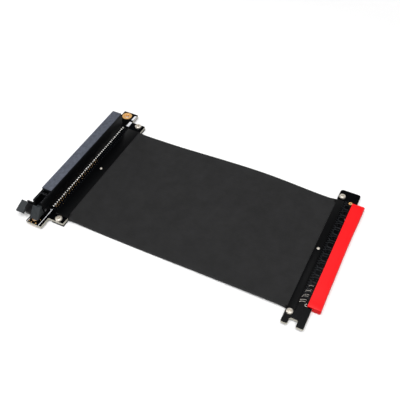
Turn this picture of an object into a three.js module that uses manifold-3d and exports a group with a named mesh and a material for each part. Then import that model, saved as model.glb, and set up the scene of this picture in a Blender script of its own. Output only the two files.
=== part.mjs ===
// A flat ribbon riser cable for a graphics card: a slot board at one end, a plug board at the other,
// and a wide black ribbon between them. Millimetres, +Z up.
// The riser lies flat. While it is built, X runs from the slot's centre line to the plug, Y runs
// along the slot, and Z = 0 is the surface that the two clamp bars lie on.
// The finished group is moved so that its origin is the middle of its footprint.

import * as THREE from 'three';
import { mergeVertices } from 'three/addons/utils/BufferGeometryUtils.js';
import Module from 'manifold-3d';

const wasm = await Module();
wasm.setup();

// Clearances
const looseGap = 0.3;
const fitGap = 0.25;

// Layers, from the surface up
const clampBarThickness = 1.0;
const wireLayer = 0.8;
const boardThickness = 1.6;
const wireCoverThickness = 0.4;
const platingThickness = 0.08;
const boardBottom = clampBarThickness + wireLayer;
const boardTop = boardBottom + boardThickness;
const boardMiddle = (boardBottom + boardTop) / 2;
const wireTop = boardTop + wireLayer;
const wireCoverTop = wireTop + wireCoverThickness;

// Connector standard: contacts and key
const contactPitch = 1.0;
const shortContacts = 11;
const longContacts = 71;
const keyWidth = 1.9;
const firstShortContact = 0.85;
const lastShortContact = 0.8;
const firstLongContact = 0.7;
const lastLongContact = 0.75;
const shortTongue = firstShortContact + (shortContacts - 1) * contactPitch + lastShortContact;
const longTongue = firstLongContact + (longContacts - 1) * contactPitch + lastLongContact;
const tongueLength = shortTongue + keyWidth + longTongue;

// Slot housing
const slotWidth = 7.5;
const slotHeight = 11.25;
const slotEndWall = 1.85;
const grooveWidth = 1.9;
const grooveDepth = 8.0;
const grooveLength = tongueLength + 2 * fitGap;
const slotLength = grooveLength + 2 * slotEndWall;
const slotY = 1.9;
const slotHalf = slotWidth / 2;
const slotTop = boardTop + slotHeight;
const slotNear = slotY - slotLength / 2;
const slotFar = slotY + slotLength / 2;
const grooveFar = slotY + grooveLength / 2;
const grooveNear = grooveFar - grooveLength;
const keyWall = 1.5;
const keyWallFar = grooveFar - fitGap - shortTongue - (keyWidth - keyWall) / 2;
const keyWallNear = keyWallFar - keyWall;
const grooveStretches = [[grooveNear, keyWallNear], [keyWallFar, grooveFar]];
const contactPocketOuter = 2.5;
const contactPocketInner = 0.7;
const contactPocketTop = slotTop - 2.2;
const contactTipInset = 0.8;
const contactBladeThickness = 0.35;
const contactBladeWidth = 0.45;
const contactFootHeight = 0.6;
const contactLean = 1.1;

// Latch channel at the near end of the housing
const channelWall = 1.3;
const channelEndWall = 1.2;
const channelHalf = slotHalf - channelWall;
const channelRecess = 2.2;
const channelFar = slotNear - channelRecess - channelEndWall;
const channelLength = 7.2;
const channelNear = channelFar - channelLength;
const recessDepth = 3.0;

// Latch: profile corners are outwards (-Y) and up from its pivot, with the latch standing closed
const pivotInset = 1.4;
const pivotY = channelNear + pivotInset;
const pivotHeight = 3.0;
const pivotZ = boardTop + pivotHeight;
const pinRadius = 0.9;
const hubRadius = 2.1;
const latchRestLean = 15;
const latchStemHalf = channelHalf - looseGap;
const thumbInset = 0.05;
const thumbWidth = 6.1;
const thumbRight = slotHalf - thumbInset;
const thumbLeft = thumbRight - thumbWidth;
const thumbGap = 0.35;
const thumbInner = pivotInset + thumbGap;
const thumbTop = 6.4;
const thumbReach = 9.3;
const thumbNose = 1.4;
const thumbLap = 0.5;
const hookReach = 3.4;
const hookHeight = 1.3;
const stemTop = 2.7;
const stemProfile = [
  [-1.6, 0], [-1.4, hookHeight - 0.5], [-hookReach, hookHeight], [-hookReach + 0.2, stemTop - 0.3],
  [-0.6, stemTop], [thumbInner + thumbLap, stemTop], [thumbInner + thumbLap, -0.5],
  [1.6, -1.2], [0, -1.6],
];
const thumbProfile = [
  [thumbInner, 0.1], [thumbInner, thumbTop], [thumbInner + thumbLap, thumbTop + 0.2],
  [thumbReach, thumbNose],
  [thumbReach - 0.3, thumbNose - 1], [thumbReach / 2, 0.6], [thumbInner + 1.2, -0.7],
];
const wingGap = 6.4;
const wingWidth = 5.7;
const wingInner = thumbLeft - wingGap;
const wingOuter = wingInner - wingWidth;
const wingReach = 8.3;
const wingRise = 2.7;
const wingDroop = 0.9;
const wingThickness = 1.7;
const wingProfile = [
  [0, wingRise], [wingReach, wingRise - wingDroop],
  [wingReach - 0.3, wingRise - wingDroop - wingThickness], [0.2, wingRise - wingThickness],
];
const lugReach = 4.3;
const lugLeft = thumbLeft - lugReach;
const lugProfile = [[2.2, 0.6], [2.2, 3.6], [7.2, 4.1], [7.2, 0.6]];
const armProfile = [[-0.2, 0.9], [-0.2, 2.6], [4.6, 2.6], [4.6, 0.9]];
const earProfile = [[-0.6, 4.7], [0.3, 4.7], [1.0, -0.9], [-0.2, -0.9]];
const earToHousing = 0.35;
const latchLap = 0.4;

// Ribbon
const ribbonSpan = 155.1;
const ribbonWidth = 95.0;
const ribbonThickness = 1.8;
const ribbonSlotEndY = -1.9;
const ribbonPlugEndY = -1.4;
const ribbonThinning = 6.0;
const farEdgeLift = 2.7;
const nearEdgeDip = 1.3;
const farLiftSkew = 1.43;
const nearDipSkew = 0.52;
const ribbonSteps = 36;
const ribbonRows = 8;

// Screws and rivets that hold the cable clamps; a crown lists shares of the head's radius and height
const cableCentreY = -0.4;
const slotScrewBeyondRibbon = 4.5;
const slotScrewHalf = ribbonWidth / 2 + slotScrewBeyondRibbon;
const slotScrewHead = 2.4;
const plugScrewBeyondRibbon = 3.5;
const plugScrewHalf = ribbonWidth / 2 + plugScrewBeyondRibbon;
const plugScrewHead = 2.1;
const screwHeadHeight = 1.4;
const screwShank = 1.1;
const screwRecessWidth = 0.55;
const screwRecessShare = 0.62;
const screwRecessDepth = 0.8;
const screwCrown = [[1, 0], [1, 0.45], [0.86, 0.82], [0.5, 1], [0, 1]];
const rivetHead = 1.0;
const rivetHeadHeight = 0.5;
const rivetShank = 0.65;
const rivetCrown = [[1, 0], [0.75, 0.7], [0, 1]];
const fastenerLift = 0.2;

// Slot board: a strip under the slot, and a wider part in the middle for the cable
const mountingHoleRadius = 1.85;
const mountingPadRadius = 3.75;
const mountingPadBeyondSlot = 10.65;
const mountingPadMargin = 0.65;
const mountingHoleY = slotLength / 2 + mountingPadBeyondSlot + mountingPadRadius;
const eyeletWall = 0.2;
const slotBoardHalf = mountingHoleY + mountingPadRadius + mountingPadMargin;
const screwToBoardEnd = 2.4;
const slotBoardCableHalf = slotScrewHalf + screwToBoardEnd;
const slotBoardLeftMargin = 0.85;
const slotBoardRightMargin = 3.65;
const slotBoardCableDepth = 11.6;
const slotBoardLeft = -slotHalf - slotBoardLeftMargin;
const slotBoardStripRight = slotHalf + slotBoardRightMargin;
const slotBoardRight = slotBoardStripRight + slotBoardCableDepth;
const boardCorner = 0.6;

// Solder joints beside the slot
const jointPitch = 2.0;
const jointRowBeyondSlot = 2.6;
const jointCount = Math.floor((slotLength + 2 * jointRowBeyondSlot) / jointPitch);
const jointRadius = 0.5;
const jointHeight = 0.35;
const jointOffset = 0.6;
const jointX = slotHalf + jointOffset;
const jointSink = 0.1;

// Slot dust cover
const dustCoverThickness = 1.75;
const dustCoverCorner = 0.45;
const dustBladeHalf = grooveWidth / 2 - looseGap;
const dustBladeDepth = 6.0;

// Plug board
const plugBoardLeft = slotBoardRight + ribbonSpan;
const plugBoardDepth = 14.0;
const plugBoardRight = plugBoardLeft + plugBoardDepth;
const plugScrewToNearEnd = 8.2;
const plugScrewToFarEnd = 6.6;
const plugBoardNear = cableCentreY - plugScrewHalf - plugScrewToNearEnd;
const plugBoardFar = cableCentreY + plugScrewHalf + plugScrewToFarEnd;
const plugCorner = 1.8;
const tongueReach = 4.5;
const tongueEdge = plugBoardRight + tongueReach;
const tongueY = 1.4;
const tongueFar = tongueY + tongueLength / 2;
const tongueNear = tongueY - tongueLength / 2;
const tongueChamfer = 0.8;
const keyDepth = 8.5;
const hookNotchInset = 4.1;
const hookNotchLeft = plugBoardLeft + hookNotchInset;
const hookNotchWidth = 5.3;
const hookNotchDepth = 4.6;
const hookNotchCorner = 1.0;

// Gold fingers
const fingerWidth = 0.7;
const fingerLength = 5.0;
const fingerSetback = 0.45;
const fingerStrip = 0.4;

// Plug edge cover
const edgeCoverBeyondTongue = 2.9;
const edgeCoverLength = tongueLength + 2 * edgeCoverBeyondTongue;
const edgeCoverOverlap = 3.1;
const edgeCoverMouth = plugBoardRight - edgeCoverOverlap;
const edgeCoverWall = 1.0;
const edgeCoverNose = 1.1;
const edgeCoverCorner = 1.1;
const edgeCoverHalf = boardThickness / 2 + fitGap + edgeCoverWall;

// Ground pad beside the edge cover
const groundPadRadius = 1.25;
const groundPadHole = 0.55;
const groundPadToMouth = 0.05;
const groundPadBeyondCover = 0.1;
const groundPadX = edgeCoverMouth - groundPadRadius - groundPadToMouth;
const groundPadY = tongueY + edgeCoverLength / 2 + groundPadBeyondCover;

// Cable clamps: a bar below and a thin cover above the wires, at each end of the ribbon
const clampEdgeMargin = 0.2;
const clampEndMargin = 2.2;
const wireCoverMargin = 0.2;
const slotClampDepth = 9.2;
const slotClampRight = slotBoardRight - clampEdgeMargin;
const slotClampLeft = slotClampRight - slotClampDepth;
const slotScrewX = (slotClampLeft + slotClampRight) / 2;
const plugClampDepth = 5.0;
const plugClampLeft = plugBoardLeft + clampEdgeMargin;
const plugClampRight = plugClampLeft + plugClampDepth;
const plugScrewX = (plugClampLeft + plugClampRight) / 2;

// Shapes

function block(x0, x1, y0, y1, z0, z1) {
  const geometry = new THREE.BoxGeometry(x1 - x0, y1 - y0, z1 - z0);
  return geometry.translate((x0 + x1) / 2, (y0 + y1) / 2, (z0 + z1) / 2);
}

// An outline is a list of corners [x, y, radius]; a corner without a radius stays sharp
function outline(corners) {
  const shape = new THREE.Shape();
  corners.forEach(([x, y, radius = 0], index) => {
    const here = new THREE.Vector2(x, y);
    const before = new THREE.Vector2(...corners.at(index - 1).slice(0, 2));
    const after = new THREE.Vector2(...corners[(index + 1) % corners.length].slice(0, 2));
    const start = before.sub(here).setLength(radius).add(here);
    const end = after.sub(here).setLength(radius).add(here);
    if (index === 0) shape.moveTo(start.x, start.y);
    else shape.lineTo(start.x, start.y);
    if (radius > 0) shape.quadraticCurveTo(x, y, end.x, end.y);
  });
  shape.closePath();
  return shape;
}

function plate(shape, z0, z1, curveSegments = 4) {
  const options = { depth: z1 - z0, bevelEnabled: false, curveSegments };
  return new THREE.ExtrudeGeometry(shape, options).translate(0, 0, z0);
}

// A profile of (x, z) corners, drawn out along Y
function alongY(corners, y0, y1) {
  const geometry = plate(outline(corners), 0, y1 - y0);
  return geometry.rotateX(Math.PI / 2).translate(0, y1, 0);
}

// A profile of (y, z) corners, drawn out along X
function alongX(corners, x0, x1) {
  const geometry = plate(outline(corners), 0, x1 - x0);
  geometry.rotateX(Math.PI / 2).rotateZ(Math.PI / 2);
  return geometry.translate(x0, 0, 0);
}

function post(x, y, z0, z1, radius, sides = 16) {
  const geometry = new THREE.CylinderGeometry(radius, radius, z1 - z0, sides);
  return geometry.rotateX(Math.PI / 2).translate(x, y, (z0 + z1) / 2);
}

function rod(y, z, x0, x1, radius, sides = 16) {
  const geometry = new THREE.CylinderGeometry(radius, radius, x1 - x0, sides);
  return geometry.rotateZ(Math.PI / 2).translate((x0 + x1) / 2, y, z);
}

function ring(x, y, z0, z1, outer, inner, sides = 16) {
  const shape = new THREE.Shape().absarc(x, y, outer, 0, 2 * Math.PI);
  shape.holes.push(new THREE.Path().absarc(x, y, inner, 0, 2 * Math.PI));
  return plate(shape, z0, z1, sides);
}

// Joins and cuts

function solid(geometry) {
  const bare = geometry.clone();
  bare.deleteAttribute('normal');
  bare.deleteAttribute('uv');
  const merged = mergeVertices(bare, 1e-5);
  const vertProperties = new Float32Array(merged.attributes.position.array);
  const triVerts = new Uint32Array(merged.index.array);
  return new wasm.Manifold(new wasm.Mesh({ numProp: 3, vertProperties, triVerts }));
}

function geometryOf(body) {
  const mesh = body.getMesh();
  const geometry = new THREE.BufferGeometry();
  geometry.setAttribute('position', new THREE.BufferAttribute(mesh.vertProperties, 3));
  geometry.setIndex(new THREE.BufferAttribute(mesh.triVerts, 1));
  const faceted = geometry.toNonIndexed();
  faceted.computeVertexNormals();
  return faceted;
}

function join(...geometries) {
  return geometryOf(geometries.map(solid).reduce((whole, part) => whole.add(part)));
}

function cut(geometry, ...tools) {
  return geometryOf(tools.map(solid).reduce((whole, tool) => whole.subtract(tool), solid(geometry)));
}

// Centres of the contacts along Y, lowest first, on each side of the key
function contactCentres(farEnd) {
  const rows = {
    short: { count: shortContacts, first: firstShortContact },
    long: { count: longContacts, first: shortTongue + keyWidth + firstLongContact },
  };
  return Object.fromEntries(Object.entries(rows).map(([name, { count, first }]) => {
    const last = farEnd - first - (count - 1) * contactPitch;
    return [name, Array.from({ length: count }, (_, i) => last + i * contactPitch)];
  }));
}

// A row of contacts as one comb: its bar lies along the first axis and its teeth stand up from it
function comb(centres, toothWidth, barDepth, toothLength) {
  const half = toothWidth / 2;
  const corners = [[centres[0] - half, 0], [centres.at(-1) + half, 0]];
  for (let i = centres.length - 1; i >= 0; i -= 1) {
    corners.push([centres[i] + half, toothLength], [centres[i] - half, toothLength]);
    if (i > 0) corners.push([centres[i] - half, barDepth], [centres[i - 1] + half, barDepth]);
  }
  return corners;
}

// Slot end

function slotBoard() {
  const cableNear = cableCentreY - slotBoardCableHalf;
  const cableFar = cableCentreY + slotBoardCableHalf;
  const shape = outline([
    [slotBoardLeft, -slotBoardHalf, boardCorner],
    [slotBoardStripRight, -slotBoardHalf, boardCorner],
    [slotBoardStripRight, cableNear],
    [slotBoardRight, cableNear, boardCorner],
    [slotBoardRight, cableFar, boardCorner],
    [slotBoardStripRight, cableFar],
    [slotBoardStripRight, slotBoardHalf, boardCorner],
    [slotBoardLeft, slotBoardHalf, boardCorner],
  ]);
  const holes = [-1, 1].flatMap((side) => [
    post(0, side * mountingHoleY, 0, wireTop, mountingHoleRadius + eyeletWall + looseGap, 20),
    post(slotScrewX, cableCentreY + side * slotScrewHalf, 0, wireTop, screwShank + looseGap, 12),
  ]);
  const rivetHole = post(slotScrewX, cableCentreY, 0, wireTop, rivetShank + looseGap, 12);
  return join(cut(plate(shape, boardBottom, boardTop), ...holes, rivetHole), ...solderBeads());
}

// A plated hole: a barrel through the board with a flat ring on each face
function mountingEyelet(side) {
  const top = boardTop + platingThickness;
  const bottom = boardBottom - platingThickness;
  const barrel = mountingHoleRadius + eyeletWall;
  const profile = [
    new THREE.Vector2(mountingHoleRadius, bottom),
    new THREE.Vector2(mountingPadRadius, bottom),
    new THREE.Vector2(mountingPadRadius, boardBottom),
    new THREE.Vector2(barrel, boardBottom),
    new THREE.Vector2(barrel, boardTop),
    new THREE.Vector2(mountingPadRadius, boardTop),
    new THREE.Vector2(mountingPadRadius, top),
    new THREE.Vector2(mountingHoleRadius, top),
    new THREE.Vector2(mountingHoleRadius, bottom),
  ];
  return new THREE.LatheGeometry(profile, 24).rotateX(Math.PI / 2).translate(0, side * mountingHoleY, 0);
}

function slotHousing() {
  const grooves = grooveStretches.flatMap(([y0, y1]) => [
    block(-grooveWidth / 2, grooveWidth / 2, y0, y1, slotTop - grooveDepth, slotTop + 1),
    block(contactPocketInner, contactPocketOuter, y0, y1, boardTop - 1, contactPocketTop),
    block(-contactPocketOuter, -contactPocketInner, y0, y1, boardTop - 1, contactPocketTop),
  ]);
  const channel = block(-channelHalf, channelHalf, channelNear - 1, channelFar, boardTop - 1, slotTop + 1);
  const recessNear = channelFar + channelEndWall;
  const recess = block(-channelHalf, channelHalf, recessNear, slotNear, slotTop - recessDepth, slotTop + 1);
  const pinHole = rod(pivotY, pivotZ, -slotWidth, slotWidth, pinRadius + looseGap);
  const body = block(-slotHalf, slotHalf, channelNear, slotFar, boardTop, slotTop);
  return cut(body, ...grooves, channel, recess, pinHole);
}

// The contacts lean from their feet by the pocket's outer wall to their tips beside the groove
function slotContacts(side, row) {
  const centres = contactCentres(grooveFar - fitGap)[row];
  const height = contactPocketTop - contactTipInset - boardTop;
  const foot = contactPocketOuter - fitGap;
  const profile = comb(centres, contactBladeWidth, contactFootHeight, height);
  const blades = alongX(profile, foot - contactBladeThickness, foot);
  const lean = -contactLean / height;
  blades.applyMatrix4(new THREE.Matrix4().makeShear(0, 0, 0, 0, lean, 0));
  blades.translate(0, 0, boardTop);
  if (side < 0) blades.rotateZ(Math.PI).translate(0, centres[0] + centres.at(-1), 0);
  return blades;
}

// Beads of solder on the board, sunk a little so that they join it
function solderBeads() {
  const start = cableCentreY - ((jointCount - 1) * jointPitch) / 2;
  return Array.from({ length: jointCount }, (_, index) => {
    const bead = new THREE.CylinderGeometry(jointRadius / 2, jointRadius, jointHeight + jointSink, 6);
    const height = boardTop + (jointHeight - jointSink) / 2;
    const y = start + index * jointPitch;
    return bead.rotateX(Math.PI / 2).translate(jointX, y, height);
  });
}

function dustCover() {
  const top = slotTop + dustCoverThickness;
  const cap = alongY([
    [-slotHalf, slotTop],
    [slotHalf, slotTop],
    [slotHalf, top, dustCoverCorner],
    [-slotHalf, top, dustCoverCorner],
  ], slotNear, slotFar);
  const bladeTop = slotTop + dustCoverThickness / 2;
  const blades = grooveStretches.map(([y0, y1]) => block(
    -dustBladeHalf, dustBladeHalf, y0 + looseGap, y1 - looseGap, slotTop - dustBladeDepth, bladeTop,
  ));
  return join(cap, ...blades);
}

// Turns an offset from the pivot, outwards and up, into (y, z) with the latch leaning at rest
function latchPoint(outward, up) {
  const lean = THREE.MathUtils.degToRad(latchRestLean);
  const away = outward * Math.cos(lean) + up * Math.sin(lean);
  const rise = up * Math.cos(lean) - outward * Math.sin(lean);
  return [pivotY - away, pivotZ + rise];
}

function latchLever() {
  const turned = (points) => points.map(([outward, up]) => latchPoint(outward, up));
  const body = join(
    alongX(turned(stemProfile), -latchStemHalf, latchStemHalf),
    rod(pivotY, pivotZ, -latchStemHalf, latchStemHalf, hubRadius),
    alongX(turned(thumbProfile), thumbLeft, thumbRight),
    alongX(turned(lugProfile), lugLeft, thumbLeft + latchLap),
    alongX(turned(armProfile), wingInner - latchLap, -slotHalf - earToHousing),
    alongX(turned(earProfile), wingInner - latchLap, -slotHalf - earToHousing),
    alongX(turned(wingProfile), wingOuter, wingInner),
  );
  return cut(body, rod(pivotY, pivotZ, -slotWidth, slotWidth, pinRadius + looseGap));
}

function latchPin() {
  return rod(pivotY, pivotZ, -slotHalf, slotHalf, pinRadius);
}

// Cable clamps

function ribbonEdges(share) {
  const middle = THREE.MathUtils.lerp(ribbonSlotEndY, ribbonPlugEndY, share);
  return [middle - ribbonWidth / 2, middle + ribbonWidth / 2];
}

const slotClamp = {
  left: slotClampLeft,
  right: slotClampRight,
  screwX: slotScrewX,
  screwHalf: slotScrewHalf,
  headRadius: slotScrewHead,
  edges: ribbonEdges(0),
};
const plugClamp = {
  left: plugClampLeft,
  right: plugClampRight,
  screwX: plugScrewX,
  screwHalf: plugScrewHalf,
  headRadius: plugScrewHead,
  edges: ribbonEdges(1),
};

function clampBar(clamp) {
  const near = cableCentreY - clamp.screwHalf - clampEndMargin;
  const far = cableCentreY + clamp.screwHalf + clampEndMargin;
  const bar = join(
    block(clamp.left, clamp.right, near, far, 0, clampBarThickness),
    block(clamp.left, clamp.right, near, clamp.edges[0] - looseGap, 0, boardBottom),
    block(clamp.left, clamp.right, clamp.edges[1] + looseGap, far, 0, boardBottom),
  );
  const screwHoles = [-1, 1].map((side) => post(
    clamp.screwX, cableCentreY + side * clamp.screwHalf, -1, boardTop, screwShank + looseGap, 12,
  ));
  const rivetHole = post(clamp.screwX, cableCentreY, -1, boardTop, rivetShank + looseGap, 12);
  return cut(bar, ...screwHoles, rivetHole);
}

function wireCover(clamp) {
  const near = clamp.edges[0] + wireCoverMargin;
  const far = clamp.edges[1] - wireCoverMargin;
  const strip = block(clamp.left, clamp.right, near, far, wireTop, wireCoverTop);
  return cut(strip, post(clamp.screwX, cableCentreY, 0, wireCoverTop + 1, rivetShank + looseGap, 12));
}

// A round shank up to the seat, then a head whose crown lists shares of its radius and height
function fastener(shank, seat, head, headHeight, crown, sides) {
  const profile = [
    new THREE.Vector2(0, fastenerLift),
    new THREE.Vector2(shank, fastenerLift),
    new THREE.Vector2(shank, seat),
    ...crown.map(([out, up]) => new THREE.Vector2(out * head, seat + up * headHeight)),
  ];
  return new THREE.LatheGeometry(profile, sides).rotateX(Math.PI / 2);
}

function clampScrew({ screwX, screwHalf, headRadius }, side) {
  const headTop = boardTop + screwHeadHeight;
  const body = fastener(screwShank, boardTop, headRadius, screwHeadHeight, screwCrown, 20);
  const reach = headRadius * screwRecessShare;
  const half = screwRecessWidth / 2;
  const slots = [
    block(-reach, reach, -half, half, headTop - screwRecessDepth, headTop + 1),
    block(-half, half, -reach, reach, headTop - screwRecessDepth, headTop + 1),
  ];
  return cut(body, ...slots).translate(screwX, cableCentreY + side * screwHalf, 0);
}

function clampRivet(clamp) {
  const rivet = fastener(rivetShank, wireCoverTop, rivetHead, rivetHeadHeight, rivetCrown, 16);
  return rivet.translate(clamp.screwX, cableCentreY, 0);
}

// Ribbon

function bump(share, skew) {
  return Math.sin(Math.PI * share ** skew) ** 2;
}

// Height of the ribbon's middle surface; share runs along it and across is 0 near, 1 far
function ribbonMiddle(share, across) {
  const lift = farEdgeLift * across ** 2 * bump(share, farLiftSkew);
  const dip = nearEdgeDip * (1 - across) * bump(share, nearDipSkew);
  return boardMiddle + lift - dip;
}

// Half the ribbon's thickness: as thick as the layered boards at its ends, then thinner
function ribbonHalf(distanceFromBoard) {
  const ends = boardThickness / 2 + wireLayer;
  const ease = THREE.MathUtils.smoothstep(distanceFromBoard, 0, ribbonThinning);
  return THREE.MathUtils.lerp(ends, ribbonThickness / 2, ease);
}

function ribbonCable() {
  const left = slotClampLeft;
  const right = plugClampRight;
  const flatLeft = slotBoardRight + looseGap;
  const flatRight = plugBoardLeft - looseGap;
  const freeLength = flatRight - flatLeft;
  const steps = ribbonSteps + 2;
  const sheet = new THREE.BoxGeometry(steps, 1, 2, steps, ribbonRows, 1);
  const points = sheet.attributes.position;
  for (let i = 0; i < points.count; i += 1) {
    const station = Math.round(points.getX(i) + steps / 2);
    const share = THREE.MathUtils.clamp((station - 1) / ribbonSteps, 0, 1);
    const across = points.getY(i) + 0.5;
    let x = flatLeft + share * freeLength;
    if (station === 0) x = left;
    if (station === steps) x = right;
    const y = THREE.MathUtils.lerp(ribbonSlotEndY, ribbonPlugEndY, share) + (across - 0.5) * ribbonWidth;
    const fromBoard = Math.min(share, 1 - share) * freeLength;
    const z = ribbonMiddle(share, across) + points.getZ(i) * ribbonHalf(fromBoard);
    points.setXYZ(i, x, y, z);
  }
  const beyond = ribbonWidth;
  const tools = [
    block(left - 1, flatLeft, -beyond, beyond, boardBottom, boardTop),
    block(flatRight, right + 1, -beyond, beyond, boardBottom, boardTop),
    post(slotScrewX, cableCentreY, 0, wireCoverTop, rivetShank + looseGap, 12),
    post(plugScrewX, cableCentreY, 0, wireCoverTop, rivetShank + looseGap, 12),
  ];
  return cut(sheet, ...tools);
}

// Plug end

function plugBoard() {
  const notchRight = hookNotchLeft + hookNotchWidth;
  const notchFar = plugBoardNear + hookNotchDepth;
  const keyFar = tongueFar - shortTongue;
  const keyNear = keyFar - keyWidth;
  const keyRound = keyWidth / 2 - 0.05;
  const keyEnd = tongueEdge - keyDepth;
  const shape = outline([
    [plugBoardLeft, plugBoardNear, boardCorner],
    [hookNotchLeft, plugBoardNear, boardCorner],
    [hookNotchLeft, notchFar, hookNotchCorner],
    [notchRight, notchFar, hookNotchCorner],
    [notchRight, plugBoardNear, boardCorner],
    [plugBoardRight, plugBoardNear, boardCorner],
    [plugBoardRight, tongueNear],
    [tongueEdge, tongueNear, tongueChamfer],
    [tongueEdge, keyNear],
    [keyEnd, keyNear, keyRound],
    [keyEnd, keyFar, keyRound],
    [tongueEdge, keyFar],
    [tongueEdge, tongueFar, tongueChamfer],
    [plugBoardRight, tongueFar],
    [plugBoardRight, plugBoardFar, plugCorner],
    [plugBoardLeft, plugBoardFar, plugCorner],
  ]);
  const screwHoles = [-1, 1].map((side) => post(
    plugScrewX, cableCentreY + side * plugScrewHalf, 0, wireTop, screwShank + looseGap, 12,
  ));
  const rivetHole = post(plugScrewX, cableCentreY, 0, wireTop, rivetShank + looseGap, 12);
  const padHole = post(groundPadX, groundPadY, 0, wireTop, groundPadHole, 8);
  return cut(plate(shape, boardBottom, boardTop), ...screwHoles, rivetHole, padHole);
}

// Gold fingers, joined at their inner ends by a narrow strip of the same plating
function edgeContacts(row, z0) {
  const centres = contactCentres(tongueFar)[row];
  const profile = comb(centres, fingerWidth, fingerStrip, fingerLength);
  const inner = tongueEdge - fingerSetback - fingerLength;
  const turned = profile.map(([along, outwards]) => [inner + outwards, along]).reverse();
  return plate(outline(turned), z0, z0 + platingThickness);
}

function edgeCover() {
  const near = tongueY - edgeCoverLength / 2;
  const far = tongueY + edgeCoverLength / 2;
  const nose = tongueEdge + edgeCoverNose;
  const body = alongY([
    [edgeCoverMouth, boardMiddle - edgeCoverHalf],
    [nose, boardMiddle - edgeCoverHalf, edgeCoverCorner],
    [nose, boardMiddle + edgeCoverHalf, edgeCoverCorner],
    [edgeCoverMouth, boardMiddle + edgeCoverHalf],
  ], near, far);
  const bottom = boardBottom - fitGap;
  const top = boardTop + fitGap;
  const boardSlot = block(edgeCoverMouth - 1, plugBoardRight + looseGap, near - 1, far + 1, bottom, top);
  const tongueRoom = block(
    edgeCoverMouth - 1, tongueEdge + fitGap, tongueNear - looseGap, tongueFar + looseGap, bottom, top,
  );
  return cut(body, boardSlot, tongueRoom);
}

function groundPad() {
  const top = boardTop + platingThickness;
  return ring(groundPadX, groundPadY, boardTop, top, groundPadRadius, groundPadHole, 10);
}

// Finishes

const finishes = {
  solderMask: { color: 0x0d0e12, roughness: 0.45, metalness: 0.0 },
  housingPlastic: { color: 0x141518, roughness: 0.6, metalness: 0.0 },
  latchPlastic: { color: 0x454a4d, roughness: 0.7, metalness: 0.0 },
  dustCoverPlastic: { color: 0x565965, roughness: 0.85, metalness: 0.0 },
  ribbonJacket: { color: 0x2d2d2e, roughness: 0.9, metalness: 0.0 },
  wireCoverFilm: { color: 0x18191b, roughness: 0.7, metalness: 0.0 },
  clampPlastic: { color: 0x111214, roughness: 0.6, metalness: 0.0 },
  edgeCoverVinyl: { color: 0xf0232d, roughness: 0.5, metalness: 0.0 },
  screwSteel: { color: 0xd8d4cc, roughness: 0.35, metalness: 1.0 },
  pinSteel: { color: 0x9a9a9c, roughness: 0.35, metalness: 1.0 },
  gold: { color: 0xe0b26a, roughness: 0.35, metalness: 1.0 },
};

function part(name, geometry, finish) {
  const mesh = new THREE.Mesh(geometry, new THREE.MeshStandardMaterial(finishes[finish]));
  mesh.name = name;
  return mesh;
}

const riser = new THREE.Group();
riser.add(
  part('slot_board', slotBoard(), 'solderMask'),
  part('mounting_eyelet_near', mountingEyelet(-1), 'gold'),
  part('mounting_eyelet_far', mountingEyelet(1), 'gold'),
  part('slot_housing', slotHousing(), 'housingPlastic'),
  part('slot_contacts_left_long', slotContacts(-1, 'long'), 'gold'),
  part('slot_contacts_left_short', slotContacts(-1, 'short'), 'gold'),
  part('slot_contacts_right_long', slotContacts(1, 'long'), 'gold'),
  part('slot_contacts_right_short', slotContacts(1, 'short'), 'gold'),
  part('slot_dust_cover', dustCover(), 'dustCoverPlastic'),
  part('latch_lever', latchLever(), 'latchPlastic'),
  part('latch_pin', latchPin(), 'pinSteel'),
  part('slot_wire_cover', wireCover(slotClamp), 'wireCoverFilm'),
  part('slot_clamp_bar', clampBar(slotClamp), 'clampPlastic'),
  part('slot_screw_near', clampScrew(slotClamp, -1), 'screwSteel'),
  part('slot_screw_far', clampScrew(slotClamp, 1), 'screwSteel'),
  part('slot_clamp_rivet', clampRivet(slotClamp), 'screwSteel'),
  part('ribbon_cable', ribbonCable(), 'ribbonJacket'),
  part('plug_board', plugBoard(), 'solderMask'),
  part('edge_contacts_top_long', edgeContacts('long', boardTop), 'gold'),
  part('edge_contacts_top_short', edgeContacts('short', boardTop), 'gold'),
  part('edge_contacts_bottom_long', edgeContacts('long', boardBottom - platingThickness), 'gold'),
  part('edge_contacts_bottom_short', edgeContacts('short', boardBottom - platingThickness), 'gold'),
  part('plug_edge_cover', edgeCover(), 'edgeCoverVinyl'),
  part('plug_ground_pad', groundPad(), 'gold'),
  part('plug_wire_cover', wireCover(plugClamp), 'wireCoverFilm'),
  part('plug_clamp_bar', clampBar(plugClamp), 'clampPlastic'),
  part('plug_screw_near', clampScrew(plugClamp, -1), 'screwSteel'),
  part('plug_screw_far', clampScrew(plugClamp, 1), 'screwSteel'),
  part('plug_clamp_rivet', clampRivet(plugClamp), 'screwSteel'),
);

const extent = new THREE.Box3().setFromObject(riser);
const middle = extent.getCenter(new THREE.Vector3());
riser.position.set(-middle.x, -middle.y, -extent.min.z);

export default riser;
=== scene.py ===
# %% [markdown]
# A flat riser cable for a graphics card
#
# The real thing is a short extension lead: a slot board at one end takes a graphics card, a plug
# board at the other goes into a mainboard, and a wide flat ribbon of shielded wires joins them.
# The solids come from the CAD frame. This lesson dresses them: boards, a jacket with soft edges,
# moulded plastics, solder, plating and a red push-on cover. Every length is in millimetres until
# the last moment, and MM turns it into Blender's metres.

import math

import bmesh
import bpy
from mathutils import Matrix, Vector


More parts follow.
